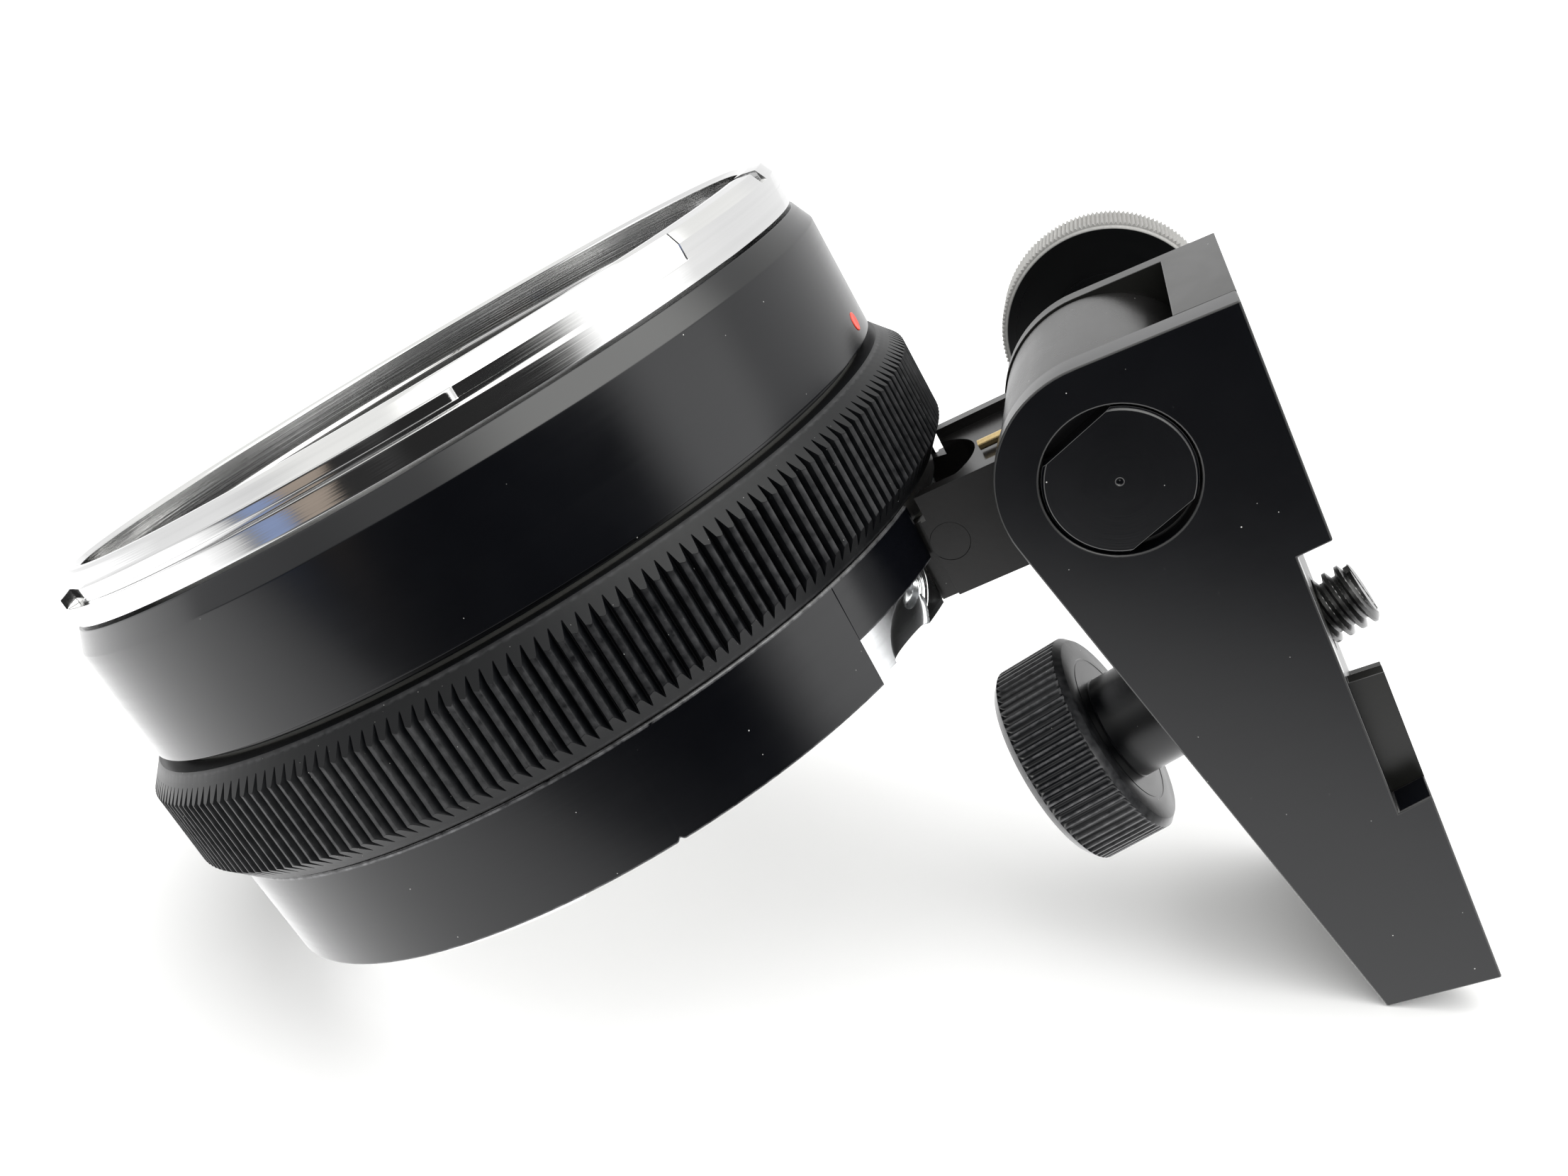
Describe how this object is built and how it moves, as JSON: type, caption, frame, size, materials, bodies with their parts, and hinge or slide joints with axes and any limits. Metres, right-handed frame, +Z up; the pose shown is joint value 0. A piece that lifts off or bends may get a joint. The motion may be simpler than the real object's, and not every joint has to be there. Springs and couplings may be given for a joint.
{
  "type": "lens mount ring with tilting bracket",
  "caption": "Lens mount ring with a bright front bayonet and a knurled grip ring, carried by a square arm on a clamped tilt hinge in a rail bracket with a screw knob.",
  "frame": {"origin": "centre of the footprint on the surface that the piece lies on", "axes": "+Z up, +Y along the hinge toward the clamp knob, +X from the ring toward the bracket"},
  "size_m": [0.1398, 0.0862, 0.0745],
  "materials": {
    "chrome": "polished",
    "black_barrel": "satin black anodised",
    "red_enamel": "gloss enamel",
    "matt_black": "matt blackened",
    "black_knurl": "knurled black anodised",
    "spring_steel": "brushed",
    "bare_aluminium": "machined",
    "black_anodised": "black anodised",
    "brass": "turned",
    "black_steel": "blackened",
    "fibre": "matt",
    "black_bolt": "satin blackened"
  },
  "bodies": {
    "bracket": {"bracket_body": "black_anodised", "side_plate": "black_anodised", "plate_screws": "black_steel", "friction_washers": "fibre", "pivot_bolt": "black_bolt", "clamp_washer": "spring_steel"},
    "ring": {"front_bayonet": "chrome", "bayonet_screws": "chrome", "front_barrel": "black_barrel", "index_dot": "red_enamel", "inner_sleeve": "matt_black", "grip_keeper": "spring_steel", "rear_barrel": "black_barrel", "mount_pad": "bare_aluminium", "rear_mount": "chrome", "rear_screws": "chrome", "arm_block": "black_anodised", "arm_cross_pin": "black_anodised", "arm_dowels": "spring_steel", "stop_pin": "brass", "knuckle_bush": "brass"},
    "grip": {"grip_ring": "black_knurl"},
    "clamp": {"clamp_knob": "black_knurl", "clamp_insert": "brass"},
    "mount": {"mount_screw": "black_steel", "mount_knob": "black_knurl", "knob_pin": "spring_steel", "retaining_ring": "black_steel"}
  },
  "joints": [
    {"name": "tilt", "type": "hinge", "parent": "bracket", "child": "ring", "pos_m": [0.03167, -0.0004, 0.05144], "axis": [0, 1, 0], "range_deg": [-20, 45]},
    {"name": "grip_turn", "type": "hinge", "parent": "ring", "child": "grip", "pos_m": [-0.02396, -0.0004, 0.03381], "axis": [-0.481, 0, 0.8767], "range_deg": [-90, 90]},
    {"name": "clamp_turn", "type": "hinge", "parent": "bracket", "child": "clamp", "pos_m": [0.03167, 0.0296, 0.05144], "axis": [0, 1, 0], "continuous": true},
    {"name": "mount_turn", "type": "hinge", "parent": "bracket", "child": "mount", "pos_m": [0.0388, -0.001, 0.02418], "axis": [0.7884, 0, 0.6151], "continuous": true}
  ]
}
